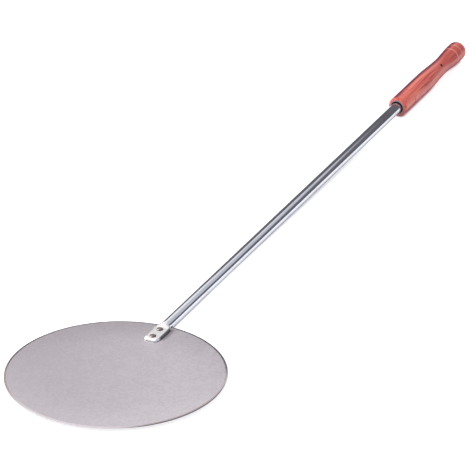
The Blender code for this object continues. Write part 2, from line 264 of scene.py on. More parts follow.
class PeelSizes(bpy.types.PropertyGroup):
    """Sizes of the peel's pieces."""

    blade_diameter: length_prop("Blade diameter", "Across the round blade", BLADE_HIGH.x - BLADE_LOW.x)
    blade_thickness: length_prop("Blade thickness", "Of the flat sheet", BLADE_HIGH.z - BLADE_LOW.z)
    rim_thickness: length_prop("Rim thickness", "Thickness left at the blade's edge", 0.0008)
    rim_taper: length_prop("Rim taper", "Width of the thinned band along the blade's edge", 0.0040)
    tube_diameter: length_prop("Tube diameter", "Outside of the round tube", TUBE_HIGH.z - TUBE_LOW.z)
    tube_wall: length_prop("Tube wall", "Thickness of the tube's wall", 0.0010)
    tongue_spread: length_prop("Tongue spread", "How much a tongue's width grows as it is pressed", 0.0038)
    tongue_corner: length_prop("Tongue corner radius", "Rounding of a tongue's two corners", 0.0085)
    tongue_flat: length_prop("Tongue flat length", "From a tongue's end to the start of its bend", 0.0359)
    tongue_bend: length_prop("Tongue bend length", "Over which the round tube is pressed flat", 0.0125)
    rivet_head: length_prop("Rivet head diameter", "Across a domed head", RIVET_HIGH.x - RIVET_LOW.x)
    rivet_head_height: length_prop("Rivet head height", "Height of a head over the upper tongue", 0.0019)
    rivet_shank: length_prop("Rivet shank diameter", "Across a rivet's shank", 0.0040)
    grip_length: length_prop("Grip length", "From the mouth to the rounded end", GRIP_HIGH.x - GRIP_LOW.x)
    grip_diameter: length_prop("Grip diameter", "Across its front and its knob", GRIP_HIGH.z - GRIP_LOW.z)
    grip_body: length_prop("Grip body length", "Straight front of the grip before its waist", 0.0905)
    waist_diameter: length_prop("Waist diameter", "Across the thinnest place of the grip", 0.0242)
    waist_from_end: length_prop("Waist from end", "From the grip's end to its waist", 0.067)
    knob_from_end: length_prop("Knob from end", "From the grip's end to the widest place of its knob", 0.020)
    shoulder: length_prop("Shoulder radius", "Rounding of the grip's front edge", 0.0042)
    front_groove: length_prop("Front groove", "From the grip's mouth to its front groove", 0.033)
    first_knob_groove: length_prop("First knob groove", "From the grip's end to its front ring", 0.0352)
    second_knob_groove: length_prop("Second knob groove", "From the grip's end to its rear ring", 0.0222)
    pin_diameter: length_prop("Pin diameter", "Across the pin through the grip", PIN_HIGH.x - PIN_LOW.x)
    pin_turn: angle_prop("Pin turn", "How far the pin leans from upright about the handle", 41.0)


class PeelColors(bpy.types.PropertyGroup):
    """Colours of the peel's finishes."""

    steel_light: color_prop("Rolled steel, light", "Lighter patches of the blade", 0.78, 0.735, 0.785)
    steel_dark: color_prop("Rolled steel, dark", "Darker patches of the blade", 0.70, 0.66, 0.70)
    # Painted shade towards the blade's left side
    steel_left_shade: color_prop("Rolled steel, deep", "Tone towards the blade's left side", 0.42, 0.39, 0.42)
    # Thinned steel along the blade's edge, painted darker as shade
    rim_steel_and_shade: color_prop("Thinned rim", "Ground steel along the blade's edge", 0.44, 0.365, 0.365)
    # Painted highlight on the rim in front and on the right
    rim_highlight: color_prop("Worn rim", "Bright steel where the rim is scraped", 0.72, 0.68, 0.71)
    # Painted shade: by and on the tongue's right side, at the grip's mouth and along the blade's near edge
    painted_shade: color_prop("Grime", "Dark grime by the tongue, the grip and the near edge", 0.20, 0.18, 0.185)
    chrome_light: color_prop("Chrome, clean", "Clean chromed tube", 0.83, 0.85, 0.89)
    chrome_dull: color_prop("Chrome, handled", "Handled places of the chromed tube", 0.73, 0.75, 0.78)
    # Painted shade on the tube's underside
    chrome_under_shade: color_prop("Chrome, underside", "Dull underside of the chromed tube", 0.40, 0.41, 0.45)
    pressed_steel: color_prop("Pressed tongue", "Dull steel where the tube is pressed", 0.93, 0.92, 0.92)
    rivet_light: color_prop("Rivet, bright", "Brighter places of the rivets", 0.30, 0.255, 0.255)
    rivet_dark: color_prop("Rivet, dull", "Dull places of the rivets", 0.16, 0.13, 0.13)
    wood_dark: color_prop("Stained wood, dark", "Dark grain of the grip", 0.58, 0.095, 0.080)
    wood_red: color_prop("Stained wood, red", "Main colour of the grip", 1.0, 0.215, 0.165)
    wood_orange: color_prop("Stained wood, orange", "Pale grain of the grip", 1.0, 0.34, 0.19)
    # Painted shade towards the grip's outline
    wood_outline_shade: color_prop("Stained wood, edge", "Deep stain seen at a slant", 0.13, 0.014, 0.045)
    # Painted pink sheen
    wood_sheen: color_prop("Stained wood, sheen", "Pink sheen on the grip's right side", 1.0, 0.46, 0.40)
    wood_worn: color_prop("Stained wood, worn", "Thin stain on rings and mouth", 0.93, 0.46, 0.36)
    # Grey painted shade inside the grip's mouth
    mouth_shade: color_prop("Grip mouth", "Grey inside of the grip's mouth", 0.36, 0.37, 0.44)
    pin_light: color_prop("Pin, bare", "Bare places of the pin", 0.28, 0.19, 0.16)
    pin_dark: color_prop("Pin, blackened", "Blackened places of the pin", 0.12, 0.08, 0.07)


class PeelStage(bpy.types.PropertyGroup):
    """Camera, floor and light of the picture."""

    azimuth: angle_prop("Azimuth", "Turn of the camera about the blade's upright axis", -63.209)
    elevation: angle_prop("Elevation", "Height of the camera over the blade's plane", 27.332)
    roll: angle_prop("Roll", "Tilt of the camera about its line of sight", -0.958)
    distance: length_prop("Distance", "From the camera to its aim", 9.0)
    picture_width: length_prop("Picture width", "Width of the view at the aim", 0.6545)
    aim: FloatVectorProperty(
        name="Aim",
        description="Point in the middle of the picture",
        default=(0.43006, 0.03507, 0.00025),
        subtype="TRANSLATION",
        unit="LENGTH",
    )
    floor_color: color_prop("Floor", "Colour of the pale floor", 0.86, 0.86, 0.87)
    flag_color: color_prop("Flag", "Colour of the dark card as glosses see it", 0.135, 0.13, 0.145)
    sky_cool: color_prop("Sky, right", "Cool side of the studio's ceiling", 0.56, 0.58, 0.66)
    sky_warm: color_prop("Sky, left", "Bright side of the studio's ceiling", 1.02, 1.00, 0.99)
    key_power: FloatProperty(
        name="Key power", description="Power of the soft key lamp", default=46.0, unit="POWER"
    )


def sizes():
    """The peel's sizes as the panel shows them."""
    return bpy.context.scene.peel_sizes


def colors():
    """The peel's colours as the panel shows them."""
    return bpy.context.scene.peel_colors


def blade_radius():
    """From the blade's centre to its rim."""
    return sizes().blade_diameter / 2


def mouth_radius():
    """Inside of the grip's widened mouth."""
    return sizes().tube_diameter / 2 + MOUTH_GAP


def deselect_all():
    """Leave edit mode and select nothing."""
    if bpy.context.object is not None and bpy.context.object.mode != "OBJECT":
        bpy.ops.object.mode_set(mode="OBJECT")
    bpy.ops.object.select_all(action="DESELECT")


def select_only(piece):
    """Make a piece the only one that operators act on."""
    deselect_all()
    piece.select_set(True)
    bpy.context.view_layer.objects.active = piece


def name_piece(piece, name):
    """Give a piece and its mesh the same name."""
    piece.name = name
    piece.data.name = name


def apply_place():
    """Put the selected piece's place, turn and size into its mesh."""
    bpy.ops.object.transform_apply(location=True, rotation=True, scale=True)


def ease(share):
    """Smooth step from 0 to 1, level at both ends."""
    share = min(max(share, 0.0), 1.0)
    return share * share * (3.0 - 2.0 * share)


def spaced(first, last, steps):
    """Evenly spaced values after first, up to and including last."""
    return [first + (last - first) * step / steps for step in range(1, steps + 1)]


def turned_piece(name, outline, center, axis, steps):
    """Draw an outline point by point and spin it round an axis."""
    deselect_all()
    points = [Vector(point) for point in outline]
    bpy.ops.mesh.primitive_plane_add(size=START_SIZE, location=points[0])
    piece = bpy.context.object
    name_piece(piece, name)
    bpy.ops.object.mode_set(mode="EDIT")
    bpy.ops.mesh.select_all(action="SELECT")
    bpy.ops.mesh.merge(type="CENTER")
    for first, second in zip(points, points[1:]):
        bpy.ops.mesh.extrude_vertices_move(TRANSFORM_OT_translate={"value": second - first})
    bpy.ops.mesh.select_all(action="SELECT")
    bpy.ops.mesh.spin(steps=steps, angle=FULL_TURN, center=center, axis=axis)
    bpy.ops.mesh.select_all(action="SELECT")
    bpy.ops.mesh.remove_doubles(threshold=MERGE_DISTANCE)
    bpy.ops.mesh.normals_make_consistent(inside=False)
    bpy.ops.object.mode_set(mode="OBJECT")
    apply_place()
    return piece


def apply_modifier(piece, modifier):
    """Apply one modifier of a piece."""
    select_only(piece)
    bpy.ops.object.modifier_apply(modifier=modifier.name)


def soften_edges(piece, width, segments, angle):
    """Round the sharp edges of a piece a little."""
    bevel = piece.modifiers.new("Soft edges", "BEVEL")
    bevel.width = width
    bevel.segments = segments
    bevel.limit_method = "ANGLE"
    bevel.angle_limit = angle
    bevel.use_clamp_overlap = True
    apply_modifier(piece, bevel)


def drill(piece, center, diameter, depth, turn=0.0):
    """Cut a round hole through a piece, with a gap round what goes through it."""
    deselect_all()
    radius = diameter / 2 + FIT_GAP
    bpy.ops.mesh.primitive_cylinder_add(
        vertices=HOLE_STEPS, radius=radius, depth=depth, location=center, rotation=(turn, 0.0, 0.0)
    )
    cutter = bpy.context.object
    hole = piece.modifiers.new("Hole", "BOOLEAN")
    hole.operation = "DIFFERENCE"
    hole.object = cutter
    apply_modifier(piece, hole)
    bpy.data.objects.remove(cutter, do_unlink=True)


def place_piece(piece, node, material):
    """Finish a piece that stands for a node of the frame, shaded smooth up to its sharp edges."""
    select_only(piece)
    bpy.ops.object.shade_smooth_by_angle(angle=SMOOTH_ANGLE)
    piece.data.materials.clear()
    piece.data.materials.append(material)
    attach(piece, BODY)
    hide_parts(node)


def rivet_centers():
    """The middle of each rivet in the blade's middle plane."""
    centers = {}
    for node in RIVET_NODES:
        low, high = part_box(node)
        centers[node] = Vector(((low.x + high.x) / 2, (low.y + high.y) / 2, AXIS_HEIGHT))
    return centers


def pin_center():
    """The middle of the pin, on the handle's axis."""
    return Vector(((PIN_LOW.x + PIN_HIGH.x) / 2, 0.0, AXIS_HEIGHT))


def drill_for_rivets(piece, depth):
    """Cut the rivets' holes."""
    for center in rivet_centers().values():
        drill(piece, center, sizes().rivet_shank, depth)


def drill_for_pin(piece):
    """Cut the pin's hole."""
    peel = sizes()
    drill(piece, pin_center(), peel.pin_diameter, 2 * peel.grip_diameter, peel.pin_turn)


def set_input(tree, socket, value):
    """Link a socket into an input, or set it to a value."""
    if isinstance(value, bpy.types.NodeSocket):
        tree.links.new(value, socket)
    elif socket.type == "RGBA":
        socket.default_value = (*value, 1.0)
    else:
        socket.default_value = value


def add_node(tree, kind, inputs=None, **settings):
    """Add a shader node, with its inputs set to values or linked to sockets."""
    node = tree.nodes.new("ShaderNode" + kind)
    for name, value in settings.items():
        setattr(node, name, value)
    for name, value in (inputs or {}).items():
        set_input(tree, node.inputs[name], value)
    return node


def math_node(tree, operation, first, second=0.0):
    """The result of a sum on two values or sockets."""
    return add_node(tree, "Math", {0: first, 1: second}, operation=operation).outputs[0]


def plus(tree, first, second, share):
    """A value and a share of a second value."""
    return add_node(tree, "Math", {0: second, 1: share, 2: first}, operation="MULTIPLY_ADD").outputs[0]


def times(tree, first, *others):
    """The product of values or sockets."""
    for other in others:
        first = math_node(tree, "MULTIPLY", first, other)
    return first


def vector_node(tree, operation, first, second=(0.0, 0.0, 0.0)):
    """The result of a sum on vectors or their sockets: a number for a dot product or a length."""
    node = add_node(tree, "VectorMath", {0: first, 1: second}, operation=operation)
    return node.outputs["Value" if operation in ("DOT_PRODUCT", "LENGTH") else "Vector"]


def split(tree, vector):
    """The X, Y and Z of a vector socket."""
    return add_node(tree, "SeparateXYZ", {"Vector": vector}).outputs


def remap(tree, value, low, high, to_low=0.0, to_high=1.0):
    """A value moved from one range to another, smooth at both ends."""
    inputs = {"Value": value, "From Min": low, "From Max": high, "To Min": to_low, "To Max": to_high}
    return add_node(tree, "MapRange", inputs, interpolation_type="SMOOTHSTEP").outputs["Result"]


def fade(tree, value, band, place=0.0):
    """A share that changes over a band, counted from a place."""
    start, end, *shares = band
    return remap(tree, value, place + start, place + end, *shares)


def mix(tree, share, first, second):
    """A blend of two colours, given as colours or sockets."""
    node = add_node(tree, "Mix", data_type="RGBA")
    ends = [socket for socket in node.inputs if socket.type == "RGBA"]
    for socket, value in zip((node.inputs["Factor"], *ends), (share, first, second)):
        set_input(tree, socket, value)
    return next(socket for socket in node.outputs if socket.type == "RGBA")


def noise(tree, vector, fineness, detail, **inputs):
    """Noise from 0 to 1."""
    inputs = {"Vector": vector, "Scale": fineness, "Detail": detail, **inputs}
    return add_node(tree, "TexNoise", inputs).outputs[0]


def new_group(name, numbers, outputs):
    """An empty shader node group with a vector and some numbers as inputs and numbers as outputs."""
    group = bpy.data.node_groups.new(name, "ShaderNodeTree")
    group.interface.new_socket("Vector", in_out="INPUT", socket_type="NodeSocketVector")
    for socket in numbers:
        group.interface.new_socket(socket, in_out="INPUT", socket_type="NodeSocketFloat")
    for socket in outputs:
        group.interface.new_socket(socket, in_out="OUTPUT", socket_type="NodeSocketFloat")
    return group, group.nodes.new("NodeGroupInput").outputs, group.nodes.new("NodeGroupOutput").inputs


def streaks_group():
    """Streaks drawn out along the handle, and broad soft patches under them."""
    name = "Drawn streaks"
    if name in bpy.data.node_groups:
        return bpy.data.node_groups[name]
    numbers = ("Fineness", "Shortening", "Patch fineness")
    group, start, end = new_group(name, numbers, ("Streak", "Patch"))
    along = add_node(group, "CombineXYZ", {"X": start["Shortening"], "Y": 1.0, "Z": 1.0}).outputs[0]
    drawn = vector_node(group, "MULTIPLY", start["Vector"], along)
    streak = noise(group, drawn, start["Fineness"], STREAK_DETAIL, Roughness=STREAK_ROUGHNESS)
    patch = noise(group, start["Vector"], start["Patch fineness"], PATCH_DETAIL)
    group.links.new(streak, end["Streak"])
    group.links.new(patch, end["Patch"])
    return group


def scuffs_group():
    """Thin scuff marks in two directions, from none to strong."""
    name = "Fine scuffs"
    if name in bpy.data.node_groups:
        return bpy.data.node_groups[name]
    group, start, end = new_group(name, ("Fineness",), ("Scuff",))
    marks = []
    for turn, stretch in SCUFF_LINES:
        inputs = {"Vector": start["Vector"], "Rotation": (0.0, 0.0, turn), "Scale": (stretch, 1.0, 1.0)}
        turned = add_node(group, "Mapping", inputs).outputs[0]
        marks.append(fade(group, noise(group, turned, start["Fineness"], SCUFF_DETAIL), SCUFF_BAND))
    group.links.new(math_node(group, "MAXIMUM", *marks), end["Scuff"])
    return group


def new_material(name, metallic):
    """A material with its shader, its tree and its object coordinates."""
    material = bpy.data.materials.new(name)
    material.use_nodes = True
    tree = material.node_tree
    shader = tree.nodes["Principled BSDF"]
    shader.inputs["Metallic"].default_value = metallic
    place = add_node(tree, "TexCoord").outputs["Object"]
    return material, tree, shader, place


def stage_material(name):
    """A material with an empty tree, and the place of the surface in the scene."""
    material = bpy.data.materials.new(name)
    material.use_nodes = True
    tree = material.node_tree
    tree.nodes.clear()
    return material, tree, split(tree, add_node(tree, "NewGeometry").outputs["Position"])


def place_group(tree, group, place, **values):
    """Put a node group into a material with its own values."""
    node = add_node(tree, "Group", node_tree=group)
    tree.links.new(place, node.inputs["Vector"])
    for name, value in values.items():
        node.inputs[name.replace("_", " ").capitalize()].default_value = value
    return node.outputs


def feed(tree, shader, color, roughness, height, depth):
    """Link what changes over a surface to its shader."""
    bump = add_node(tree, "Bump", {"Height": height, "Strength": 1.0, "Distance": depth})
    for name, socket in (("Base Color", color), ("Roughness", roughness), ("Normal", bump.outputs[0])):
        tree.links.new(socket, shader.inputs[name])


def rim_color(tree, place, sheet):
    """The sheet's colour with the thinned rim on it, painted darker as shade: a painted highlight in front
    and on the right, painted shade along its near edge.
    """
    palette, radius = colors(), blade_radius()
    reach = vector_node(tree, "LENGTH", vector_node(tree, "MULTIPLY", place, (1.0, 1.0, 0.0)))
    rim = fade(tree, reach, RIM_START, radius - sizes().rim_taper * RIM_SHARE_OF_TAPER)
    # Painted highlight on the rim in front and on the right; the rim's own colour is painted darker as shade
    to_right = blade_share(tree, place, RIGHT_DIRECTION)
    front = fade(tree, split(tree, place)["X"], RIM_FRONT_HIGHLIGHT)
    rim_highlight_share = times(tree, front, fade(tree, to_right, RIM_RIGHT_HIGHLIGHT))
    color = mix(tree, rim, sheet, mix(tree, rim_highlight_share, palette.rim_highlight, palette.rim_steel_and_shade))
    # Painted shade along the rim's near edge
    edge = fade(tree, blade_share(tree, place, NEAR_DIRECTION), RIM_NEAR_SHADE_SIDE)
    edge = times(tree, edge, fade(tree, reach, RIM_NEAR_SHADE_EDGE, radius))
    return rim, mix(tree, edge, color, palette.painted_shade)


def blade_share(tree, place, direction):
    """How far a place lies in a direction from the blade's centre, as a share of its radius."""
    return math_node(tree, "DIVIDE", vector_node(tree, "DOT_PRODUCT", place, direction), blade_radius())


def rolled_steel():
    """Dull rolled sheet with a faint mottle, painted shade towards its left side, a painted shadow by the
    tongue's right side and a thinned rim.
    """
    material, tree, shader, place = new_material("peel_rolled_steel", 1.0)
    palette = colors()
    marks = place_group(tree, streaks_group(), place, fineness=900.0, shortening=0.12, patch_fineness=38.0)
    scuffs = place_group(tree, scuffs_group(), place, fineness=420.0)
    mottle = times(tree, noise(tree, place, MOTTLE_FINENESS, MOTTLE_DETAIL), MOTTLE_SHARE)
    mottle = plus(tree, mottle, marks["Patch"], 1.0 - MOTTLE_SHARE)
    sheet = mix(tree, fade(tree, mottle, MOTTLE_BAND), palette.steel_dark, palette.steel_light)
    # Painted shade towards the blade's left side
    deep = fade(tree, blade_share(tree, place, RIGHT_DIRECTION), LEFT_SHADE_TONE)
    sheet = mix(tree, deep, sheet, palette.steel_left_shade)
    rim, color = rim_color(tree, place, sheet)
    parts = split(tree, place)
    # Painted shadow on the blade by the tongue's right side
    tongue_shadow = times(
        tree,
        fade(tree, parts["Y"], TONGUE_SHADOW_SIDE, TUBE_LOW.y),
        fade(tree, parts["Y"], TONGUE_SHADOW_MIDDLE),
        fade(tree, parts["X"], TONGUE_SHADOW_FRONT, TUBE_LOW.x),
        fade(tree, parts["X"], TONGUE_SHADOW_BACK, blade_radius()),
    )
    color = mix(tree, tongue_shadow, color, palette.painted_shade)
    rough = fade(tree, marks["Streak"], BLADE_ROUGHNESS)
    rough = plus(tree, rough, scuffs["Scuff"], BLADE_SCUFF_ROUGHNESS)
    rough = plus(tree, rough, rim, RIM_ROUGHNESS)
    feed(tree, shader, color, rough, marks["Streak"], BLADE_RELIEF)
    return material


def chromed_steel():
    """Bright chrome with faint drawing lines and handled patches, duller where it is pressed flat, with
    painted shade on its underside, on the pressed tongue's right flank and at the grip's mouth.
    """
    material, tree, shader, place = new_material("peel_chromed_steel", 1.0)
    palette = colors()
    marks = place_group(tree, streaks_group(), place, fineness=1400.0, shortening=0.015, patch_fineness=22.0)
    scuffs = place_group(tree, scuffs_group(), place, fineness=700.0)
    parts = split(tree, place)
    handled = fade(tree, marks["Patch"], HANDLED_CHROME)
    color = mix(tree, handled, palette.chrome_light, palette.chrome_dull)
    # Painted shade on the tube's underside
    under = fade(tree, parts["Z"], UNDERSIDE_SHADE, AXIS_HEIGHT)
    under = times(tree, under, fade(tree, parts["X"], UNDERSIDE_SHADE_REACH))
    color = mix(tree, under, color, palette.chrome_under_shade)
    pressed = fade(tree, parts["X"], PRESSED_END, blade_radius())
    color = mix(tree, pressed, color, palette.pressed_steel)
    # Painted shade on the pressed tongue's right flank
    flank_shade_end = fade(tree, parts["X"], FLANK_SHADE_FRONT, TUBE_LOW.x)
    flank = times(tree, fade(tree, parts["Y"], FLANK_SHADE_SIDE, TUBE_LOW.y), pressed, flank_shade_end)
    color = mix(tree, flank, color, palette.painted_shade)
    # Painted shade on the tube at the grip's mouth
    tube_mouth_shade = fade(tree, parts["X"], MOUTH_SHADE_END, GRIP_LOW.x)
    color = mix(tree, tube_mouth_shade, color, palette.painted_shade)
    rough = fade(tree, marks["Streak"], CHROME_ROUGHNESS)
    rough = plus(tree, rough, scuffs["Scuff"], CHROME_SCUFF_ROUGHNESS)
    rough = plus(tree, rough, pressed, PRESSED_ROUGHNESS)
    feed(tree, shader, color, rough, marks["Streak"], CHROME_RELIEF)
    return material


def rivet_steel():
    """Dull dark rivet steel with hammer scuffs."""
    material, tree, shader, place = new_material("peel_rivet_steel", 1.0)
    palette = colors()
    marks = place_group(tree, streaks_group(), place, fineness=1800.0, shortening=1.0, patch_fineness=520.0)
    scuffs = place_group(tree, scuffs_group(), place, fineness=1500.0)
    dull = fade(tree, marks["Patch"], RIVET_PATCHES)
    color = mix(tree, dull, palette.rivet_light, palette.rivet_dark)
    rough = fade(tree, marks["Streak"], RIVET_ROUGHNESS)
    rough = plus(tree, rough, scuffs["Scuff"], RIVET_SCUFF_ROUGHNESS)
    feed(tree, shader, color, rough, scuffs["Scuff"], SCUFF_RELIEF)
    return material


def pin_steel():
    """Blackened pin with bare scuffs on its ends."""
    material, tree, shader, place = new_material("peel_pin_steel", 1.0)
    palette = colors()
    marks = place_group(tree, streaks_group(), place, fineness=1600.0, shortening=1.0, patch_fineness=700.0)
    scuffs = place_group(tree, scuffs_group(), place, fineness=2200.0)
    bare = math_node(tree, "MAXIMUM", fade(tree, marks["Patch"], PIN_PATCHES), scuffs["Scuff"])
    color = mix(tree, bare, palette.pin_dark, palette.pin_light)
    feed(tree, shader, color, fade(tree, marks["Streak"], PIN_ROUGHNESS), scuffs["Scuff"], SCUFF_RELIEF)
    return material


def ring_mask(tree, along, place, half_width):
    """One near a place along the handle, falling to none on both sides of it."""
    away = math_node(tree, "ABSOLUTE", math_node(tree, "SUBTRACT", along, place))
    return remap(tree, away, half_width * RING_CORE, half_width, 1.0, 0.0)


def axis_distance(tree, place):
    """Distance of a place from the handle's axis."""
    offset = vector_node(tree, "SUBTRACT", place, (0.0, 0.0, AXIS_HEIGHT))
    return vector_node(tree, "LENGTH", vector_node(tree, "MULTIPLY", offset, (0.0, 1.0, 1.0)))


def wood_grain(tree, grain, pore, along):
    """Red stain over the grain and the pores, darker where the grip is held, with painted shade at its
    shoulder.
    """
    palette = colors()
    color = mix(tree, fade(tree, grain["Streak"], GRAIN_RED), palette.wood_dark, palette.wood_red)
    color = mix(tree, fade(tree, grain["Streak"], GRAIN_ORANGE), color, palette.wood_orange)
    color = mix(tree, times(tree, pore, PORE_DARKNESS), color, palette.wood_dark)
    held_from, held_to = GRIP_LOW.x + HANDLED_START, GRIP_HIGH.x - HANDLED_BEFORE_END
    handled = remap(tree, along, held_from, held_to, 0.0, HANDLED_SHARE)
    color = mix(tree, handled, color, palette.wood_dark)
    # Painted shade on the grip's front shoulder
    return mix(tree, fade(tree, along, SHOULDER_SHADE, GRIP_LOW.x), color, palette.wood_dark)


def wood_wear(tree, color, grain, place, along):
    """Thin stain on the knob's rings and the mouth's edge, painted shade in the front groove and grey
    painted shade inside the mouth.
    """
    palette, width = colors(), GROOVE_WIDTH
    front_groove, *knob_grooves = groove_places()
    worn = fade(tree, along, MOUTH_WEAR, GRIP_LOW.x)
    for groove in knob_grooves:
        ring = ring_mask(tree, along, GRIP_LOW.x + groove, width * RING_WIDTH)
        worn = math_node(tree, "MAXIMUM", worn, times(tree, ring, RING_WEAR))
    patchy = times(tree, worn, fade(tree, grain["Patch"], WEAR_PATCHES))
    color = mix(tree, patchy, color, palette.wood_worn)
    # Painted shade in the front groove
    front_groove_shade = ring_mask(tree, along, GRIP_LOW.x + front_groove, width)
    color = mix(tree, times(tree, front_groove_shade, GROOVE_SHADE), color, palette.wood_dark)
    # Grey painted shade inside the grip's mouth
    inner = fade(tree, axis_distance(tree, place), MOUTH_SHADE_LIP, mouth_radius())
    return mix(tree, inner, color, palette.mouth_shade)


def wood_slant(tree, color, across):
    """Painted pink sheen on the grip's right side and painted shade towards its outline."""
    palette = colors()
    grazing = add_node(tree, "LayerWeight", {"Blend": 0.5}).outputs["Facing"]
    left = fade(tree, across, LEFT_SIDE)
    right = math_node(tree, "SUBTRACT", 1.0, left)
    # Painted pink sheen on the right side
    sheen = times(tree, right, fade(tree, grazing, SHEEN_RISE), fade(tree, grazing, SHEEN_FALL))
    color = mix(tree, sheen, color, palette.wood_sheen)
    # Painted shade towards the outline
    edge = times(tree, left, fade(tree, grazing, LEFT_OUTLINE_SHADE))
    edge = math_node(tree, "MAXIMUM", edge, fade(tree, grazing, WHOLE_OUTLINE_SHADE))
    return mix(tree, edge, color, palette.wood_outline_shade)


def stained_wood():
    """Red-stained turned wood: drawn grain, fine dark pores, and thin stain on its rings and edges."""
    material, tree, shader, place = new_material("peel_stained_wood", 0.0)
    shader.inputs["Coat Roughness"].default_value = WOOD_COAT_ROUGHNESS
    shader.inputs["Specular IOR Level"].default_value = WOOD_SPECULAR
    grain = place_group(tree, streaks_group(), place, fineness=330.0, shortening=0.045, patch_fineness=60.0)
    pores = place_group(tree, streaks_group(), place, fineness=1500.0, shortening=0.035, patch_fineness=25.0)
    pore = fade(tree, pores["Streak"], PORE_BAND)
    parts = split(tree, place)
    color = wood_grain(tree, grain, pore, parts["X"])
    color = wood_wear(tree, color, grain, place, parts["X"])
    color = wood_slant(tree, color, parts["Y"])
    rough = plus(tree, fade(tree, grain["Patch"], WOOD_ROUGHNESS), pore, PORE_ROUGHNESS)
    height = plus(tree, grain["Streak"], pore, PORE_HEIGHT)
    tree.links.new(fade(tree, grain["Patch"], WOOD_COAT), shader.inputs["Coat Weight"])
    feed(tree, shader, color, rough, height, WOOD_RELIEF)
    return material


class PEEL_OT_blade(bpy.types.Operator):
    """Turn the round blade, flat in its field and thinned along its rim"""

    bl_idname = "peel.blade"
    bl_label = "Blade"

    def execute(self, context):
        peel = sizes()
        radius, thickness, fall = blade_radius(), peel.blade_thickness, BLADE_FALL
        field = TUBE_LOW.x - FIELD_MARGIN
        taper = radius - peel.rim_taper
        outline = [(0.0, thickness), (field, thickness), (taper, thickness - fall)]
        outline += [(radius, fall + peel.rim_thickness), (radius, fall)]
        outline += [(taper, fall), (field, 0.0), (0.0, 0.0)]
        points = [(reach, 0.0, height) for reach, height in outline]
        blade = turned_piece("peel_blade", points, (0.0, 0.0, 0.0), UPRIGHT, BLADE_STEPS)
        soften_edges(blade, *BLADE_EDGE)
        drill_for_rivets(blade, 4 * peel.tube_diameter)
        place_piece(blade, "blade", rolled_steel())
        return {"FINISHED"}


def tongue_roundness(from_end):
    """Share of the tube's round shape that is left at a distance from a tongue's end."""
    peel = sizes()
    return ease((from_end - peel.tongue_flat) / peel.tongue_bend)


def tongue_lean(out, half_width, from_end):
    """Lean of a tongue's wall from level, at a distance out from its middle along the wall."""
    roundness = tongue_roundness(from_end)
    flank = ease((out - half_width + FLANK_LENGTH) / FLANK_ROUNDING + 0.5)
    flank_lean = FLANK_ANGLE * flank * ease(from_end / TONGUE_TIP)
    return roundness * round_angle() * out / half_width + (1.0 - roundness) * flank_lean


def slit_half_height():
    """Half the height of the slit that takes the blade."""
    return sizes().blade_thickness / 2 + FIT_GAP


def round_angle():
    """Half the angle of the round tube's arch over the slit."""
    peel = sizes()
    return math.acos(slit_half_height() / (peel.tube_diameter / 2 - peel.tube_wall))


def tongue_arches(along):
    """Outer and inner (y, z) rows across the upper tongue, at a distance past the blade's rim."""
    peel = sizes()
    wall = peel.tube_wall
    from_end = along + blade_radius() - TUBE_LOW.x
    half_width = (peel.tube_diameter / 2 - wall / 2) * round_angle()
    half_width += peel.tongue_spread / 2 * (1.0 - tongue_roundness(from_end))
    short = max(peel.tongue_corner - from_end, 0.0)
    half_width -= peel.tongue_corner - math.sqrt(max(peel.tongue_corner**2 - short**2, 0.0))
    step = half_width / TONGUE_HALF_POINTS
    middle = [(0.0, 0.0)]
    for point in range(TONGUE_HALF_POINTS):
        lean = tongue_lean((point + 0.5) * step, half_width, from_end)
        y, drop = middle[-1]
        middle.append((y + step * math.cos(lean), drop + step * math.sin(lean)))
    leans = [tongue_lean(point * step, half_width, from_end) for point in range(len(middle))]
    crown = slit_half_height() + middle[-1][1] + wall / 2 * math.cos(leans[-1])
    rows = []
    for offset in (wall / 2, -wall / 2):
        half = []
        for (y, drop), lean in zip(middle, leans):
            half.append((y + offset * math.sin(lean), crown - drop + offset * math.cos(lean)))
        rows.append([(-y, z) for y, z in half[:0:-1]] + half)
    return rows


def tongue_stations():
    """Distances past the blade's rim of the rows across a tongue, up to the slit's root."""
    peel = sizes()
    overlap = blade_radius() - TUBE_LOW.x
    bend_start = peel.tongue_flat - overlap
    bend_end = bend_start + peel.tongue_bend
    stations = [-overlap]
    for angle in spaced(0.0, QUARTER_TURN, TONGUE_CORNER_STEPS):
        stations.append(peel.tongue_corner * (1.0 - math.cos(angle)) - overlap)
    stations += spaced(peel.tongue_corner - overlap, bend_start, TONGUE_FLAT_STEPS)
    stations += spaced(bend_start, bend_end, TONGUE_BEND_STEPS)
    return stations + [max(SLIT_PAST_RIM, bend_end + LEAST_ROOT)]


def add_row(bm, along, points, side):
    """Add a row of points above (side 1) or below (side -1) the handle's axis."""
    rim = blade_radius()
    return [bm.verts.new((rim + along, y, AXIS_HEIGHT + side * z)) for y, z in points]


def join_rows(bm, first, second, closed=False):
    """Fill the band between two rows of as many points."""
    for point in range(0 if closed else 1, len(first)):
        bm.faces.new((first[point - 1], first[point], second[point], second[point - 1]))


def add_tongue(bm, stations, root_rows, side):
    """One tongue, from its free end to the rows at the slit's root."""
    rows = [[add_row(bm, along, points, side) for points in tongue_arches(along)] for along in stations]
    rows.append(root_rows)
    join_rows(bm, *rows[0])
    for (outer, inner), (next_outer, next_inner) in zip(rows, rows[1:]):
        join_rows(bm, outer, next_outer)
        join_rows(bm, inner, next_inner)
        for edge in (0, -1):
            bm.faces.new((outer[edge], next_outer[edge], next_inner[edge], inner[edge]))


def tube_ring(bm, along, arch, radius):
    """One ring round the tube: its upper arch, its lower arch and a point on either side."""
    x = blade_radius() + along
    upper = add_row(bm, along, arch, 1)
    lower = add_row(bm, along, arch, -1)
    left = bm.verts.new((x, -radius, AXIS_HEIGHT))
    right = bm.verts.new((x, radius, AXIS_HEIGHT))
    return upper, lower, upper + [right] + lower[::-1] + [left]


